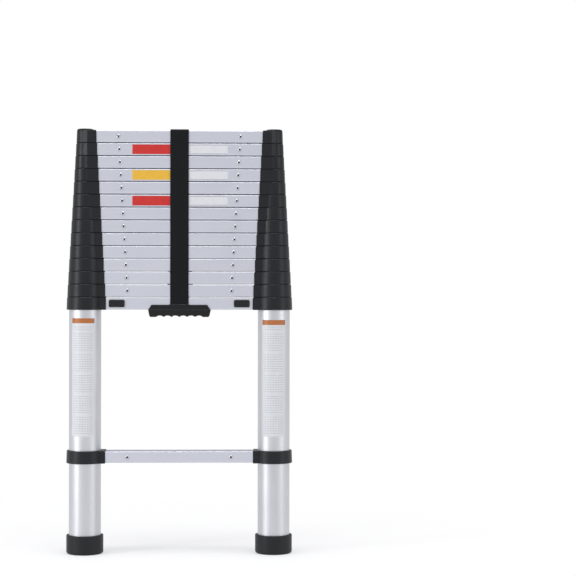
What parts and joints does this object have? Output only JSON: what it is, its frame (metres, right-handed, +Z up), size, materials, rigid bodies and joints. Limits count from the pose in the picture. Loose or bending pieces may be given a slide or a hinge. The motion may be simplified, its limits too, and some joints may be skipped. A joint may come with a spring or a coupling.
{
  "type": "telescoping ladder",
  "caption": "Telescoping aluminium ladder pushed together: nested stile tubes, stacked rungs with lock collars, carry grip, thumb releases, rubber feet and a closing strap",
  "frame": {"origin": "on the floor, halfway between the two feet and on the plane through the stile axes", "axes": "+Z up along the stiles, -Y toward the climber at the release slides, +X to the climber's right"},
  "size_m": [0.443, 0.073, 0.8318],
  "materials": {
    "anodised_tube": "satin anodised",
    "rung_extrusion": "satin anodised extrusion",
    "collar_nylon": "moulded glass-filled nylon",
    "foot_rubber": "moulded rubber",
    "webbing": "woven polyester webbing",
    "grip_plastic": "soft moulded grip",
    "black_plastic": "smooth acetal",
    "steel": "plated steel"
  },
  "bodies": {
    "base_section": {"base_stiles": "anodised_tube", "feet": "foot_rubber", "lower_brackets": "collar_nylon", "rung_01": "rung_extrusion", "base_rung_rivets": "steel", "collars_02": "collar_nylon", "rung_02": "rung_extrusion", "pin_springs": "steel", "carry_grip": "grip_plastic", "grip_screws": "steel", "buckle_socket": "black_plastic", "strap_tail": "webbing"},
    "release_left": {"release_button_left": "black_plastic", "lock_pin_left": "steel"},
    "release_right": {"release_button_right": "black_plastic", "lock_pin_right": "steel"},
    "closing_strap": {"strap": "webbing", "buckle_tongue": "black_plastic"},
    "section_03": {"stiles_03": "anodised_tube", "lock_collars_03": "collar_nylon", "rung_03": "rung_extrusion"},
    "section_04": {"stiles_04": "anodised_tube", "lock_collars_04": "collar_nylon", "rung_04": "rung_extrusion"},
    "section_05": {"stiles_05": "anodised_tube", "lock_collars_05": "collar_nylon", "rung_05": "rung_extrusion"},
    "section_06": {"stiles_06": "anodised_tube", "lock_collars_06": "collar_nylon", "rung_06": "rung_extrusion"},
    "section_07": {"stiles_07": "anodised_tube", "lock_collars_07": "collar_nylon", "rung_07": "rung_extrusion"},
    "section_08": {"stiles_08": "anodised_tube", "lock_collars_08": "collar_nylon", "rung_08": "rung_extrusion"},
    "section_09": {"stiles_09": "anodised_tube", "lock_collars_09": "collar_nylon", "rung_09": "rung_extrusion"},
    "section_10": {"stiles_10": "anodised_tube", "lock_collars_10": "collar_nylon", "rung_10": "rung_extrusion"},
    "section_11": {"stiles_11": "anodised_tube", "lock_collars_11": "collar_nylon", "rung_11": "rung_extrusion"},
    "section_12": {"stiles_12": "anodised_tube", "lock_collars_12": "collar_nylon", "rung_12": "rung_extrusion"},
    "section_13": {"stiles_13": "anodised_tube", "lock_collars_13": "collar_nylon", "rung_13": "rung_extrusion"},
    "section_14": {"stiles_14": "anodised_tube", "lock_collars_14": "collar_nylon", "rung_14": "rung_extrusion"},
    "section_15": {"stiles_15": "anodised_tube", "lock_collars_15": "collar_nylon", "rung_15": "rung_extrusion", "top_caps": "collar_nylon"}
  },
  "joints": [
    {"name": "rung_03_slide", "type": "slide", "parent": "base_section", "child": "section_03", "axis": [0, 0, 1], "range_m": [0, 0.2749]},
    {"name": "rung_04_slide", "type": "slide", "parent": "section_03", "child": "section_04", "axis": [0, 0, 1], "range_m": [0, 0.2749]},
    {"name": "rung_05_slide", "type": "slide", "parent": "section_04", "child": "section_05", "axis": [0, 0, 1], "range_m": [0, 0.2749]},
    {"name": "rung_06_slide", "type": "slide", "parent": "section_05", "child": "section_06", "axis": [0, 0, 1], "range_m": [0, 0.2749]},
    {"name": "rung_07_slide", "type": "slide", "parent": "section_06", "child": "section_07", "axis": [0, 0, 1], "range_m": [0, 0.2749]},
    {"name": "rung_08_slide", "type": "slide", "parent": "section_07", "child": "section_08", "axis": [0, 0, 1], "range_m": [0, 0.2749]},
    {"name": "rung_09_slide", "type": "slide", "parent": "section_08", "child": "section_09", "axis": [0, 0, 1], "range_m": [0, 0.2749]},
    {"name": "rung_10_slide", "type": "slide", "parent": "section_09", "child": "section_10", "axis": [0, 0, 1], "range_m": [0, 0.2749]},
    {"name": "rung_11_slide", "type": "slide", "parent": "section_10", "child": "section_11", "axis": [0, 0, 1], "range_m": [0, 0.2749]},
    {"name": "rung_12_slide", "type": "slide", "parent": "section_11", "child": "section_12", "axis": [0, 0, 1], "range_m": [0, 0.2749]},
    {"name": "rung_13_slide", "type": "slide", "parent": "section_12", "child": "section_13", "axis": [0, 0, 1], "range_m": [0, 0.2749]},
    {"name": "rung_14_slide", "type": "slide", "parent": "section_13", "child": "section_14", "axis": [0, 0, 1], "range_m": [0, 0.2749]},
    {"name": "rung_15_slide", "type": "slide", "parent": "section_14", "child": "section_15", "axis": [0, 0, 1], "range_m": [0, 0.2749]},
    {"name": "release_left_slide", "type": "slide", "parent": "base_section", "child": "release_left", "axis": [1, 0, 0], "range_m": [0, 0.01], "stiffness_N_per_m": 300, "springref_m": -0.004},
    {"name": "release_right_slide", "type": "slide", "parent": "base_section", "child": "release_right", "axis": [-1, 0, 0], "range_m": [0, 0.01], "stiffness_N_per_m": 300, "springref_m": -0.004},
    {"name": "strap_lift_off", "type": "slide", "parent": "section_15", "child": "closing_strap", "axis": [0, 0, 1], "range_m": [0, 0.4]}
  ]
}
